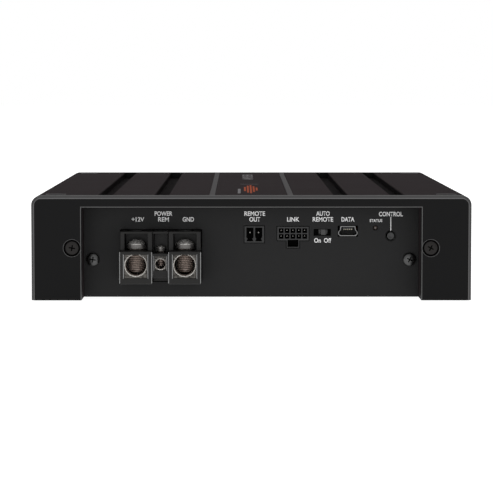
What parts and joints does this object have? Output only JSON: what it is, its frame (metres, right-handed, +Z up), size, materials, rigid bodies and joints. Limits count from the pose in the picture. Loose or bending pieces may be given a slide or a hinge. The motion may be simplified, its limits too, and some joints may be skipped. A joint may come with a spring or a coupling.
{
  "type": "car amplifier",
  "caption": "Compact black car amplifier: grooved heatsink case, bevelled end frames and recessed panels with clamp terminals, ports, a slide switch and a push button.",
  "frame": {"origin": "on the base plane, at the middle of the case in plan", "axes": "+X across the case, +Y from the power and control end to the speaker end, +Z up out of the deck"},
  "size_m": [0.184, 0.228, 0.0438],
  "materials": {
    "heatsink_body": "black anodised extrusion, satin",
    "trim_strips": "grey anodised strip, satin",
    "front_frame": "black anodised, cut bevel in satin grey",
    "rear_frame": "black anodised, cut bevel in satin grey",
    "front_frame_screws": "black oxide",
    "rear_frame_screws": "black oxide",
    "front_panel": "fine black powder coat with white legends",
    "rear_panel": "fine black powder coat with white legends",
    "front_panel_screws": "black nickel",
    "rear_panel_screws": "black nickel",
    "bottom_cover": "black powder coat",
    "bottom_screws": "black oxide",
    "supply_housing": "moulded black nylon",
    "remote_housing": "moulded black nylon",
    "ground_housing": "moulded black nylon",
    "supply_clamp": "nickel plated",
    "remote_clamp": "nickel plated",
    "ground_clamp": "nickel plated",
    "supply_screw": "nickel plated",
    "remote_screw": "nickel plated",
    "ground_screw": "nickel plated",
    "remote_out_header": "moulded black",
    "remote_out_pins": "tinned",
    "control_port": "moulded black",
    "control_port_pins": "tinned",
    "switch_body": "moulded black",
    "switch_slider": "moulded dark grey",
    "data_port_shell": "nickel plated shell",
    "data_port_tongue": "moulded, with plated contacts",
    "status_light": "clear tinted lens, unlit",
    "button_body": "moulded black",
    "control_button": "moulded dark grey",
    "speaker_header": "moulded black",
    "speaker_pins": "tinned",
    "input_header": "moulded black",
    "input_pins": "tinned",
    "line_jack_block": "moulded black",
    "line_jack_rings": "nickel plated",
    "main_board": "green solder mask",
    "board_spacers": "turned brass",
    "board_screws": "zinc plated",
    "power_transistors": "moulded epoxy with a tinned tab",
    "thermal_pads": "silicone sheet",
    "transistor_screws": "zinc plated",
    "toroid_core": "coated ferrite",
    "toroid_winding": "enamelled copper wire",
    "supply_capacitors": "sleeved can",
    "output_chokes": "sintered ferrite, shielded",
    "processor_chip": "moulded epoxy"
  },
  "bodies": {
    "chassis": {"heatsink_body": "heatsink_body", "trim_strips": "trim_strips", "front_frame": "front_frame", "rear_frame": "rear_frame", "front_frame_screws": "front_frame_screws", "rear_frame_screws": "rear_frame_screws", "front_panel": "front_panel", "rear_panel": "rear_panel", "front_panel_screws": "front_panel_screws", "rear_panel_screws": "rear_panel_screws", "bottom_cover": "bottom_cover", "bottom_screws": "bottom_screws", "supply_housing": "supply_housing", "remote_housing": "remote_housing", "ground_housing": "ground_housing", "supply_clamp": "supply_clamp", "remote_clamp": "remote_clamp", "ground_clamp": "ground_clamp", "remote_out_header": "remote_out_header", "remote_out_pins": "remote_out_pins", "control_port": "control_port", "control_port_pins": "control_port_pins", "switch_body": "switch_body", "data_port_shell": "data_port_shell", "data_port_tongue": "data_port_tongue", "status_light": "status_light", "button_body": "button_body", "speaker_header": "speaker_header", "speaker_pins": "speaker_pins", "input_header": "input_header", "input_pins": "input_pins", "line_jack_block": "line_jack_block", "line_jack_rings": "line_jack_rings", "main_board": "main_board", "board_spacers": "board_spacers", "board_screws": "board_screws", "power_transistors": "power_transistors", "thermal_pads": "thermal_pads", "transistor_screws": "transistor_screws", "toroid_core": "toroid_core", "toroid_winding": "toroid_winding", "supply_capacitors": "supply_capacitors", "output_chokes": "output_chokes", "processor_chip": "processor_chip"},
    "supply_screw": {"supply_screw": "supply_screw"},
    "remote_screw": {"remote_screw": "remote_screw"},
    "ground_screw": {"ground_screw": "ground_screw"},
    "switch_slider": {"switch_slider": "switch_slider"},
    "control_button": {"control_button": "control_button"}
  },
  "joints": [
    {"name": "supply_screw_travel", "type": "slide", "parent": "chassis", "child": "supply_screw", "axis": [0, 0, 1], "range_m": [-0.0003, 0.0082]},
    {"name": "ground_screw_travel", "type": "slide", "parent": "chassis", "child": "ground_screw", "axis": [0, 0, 1], "range_m": [-0.0003, 0.0082]},
    {"name": "remote_screw_travel", "type": "slide", "parent": "chassis", "child": "remote_screw", "axis": [0, 0, 1], "range_m": [-0.0003, 0.0036]},
    {"name": "switch_slide", "type": "slide", "parent": "chassis", "child": "switch_slider", "axis": [-1, 0, 0], "range_m": [0, 0.002]},
    {"name": "button_press", "type": "slide", "parent": "chassis", "child": "control_button", "axis": [0, 1, 0], "range_m": [0, 0.00035], "stiffness_N_per_m": 800}
  ]
}
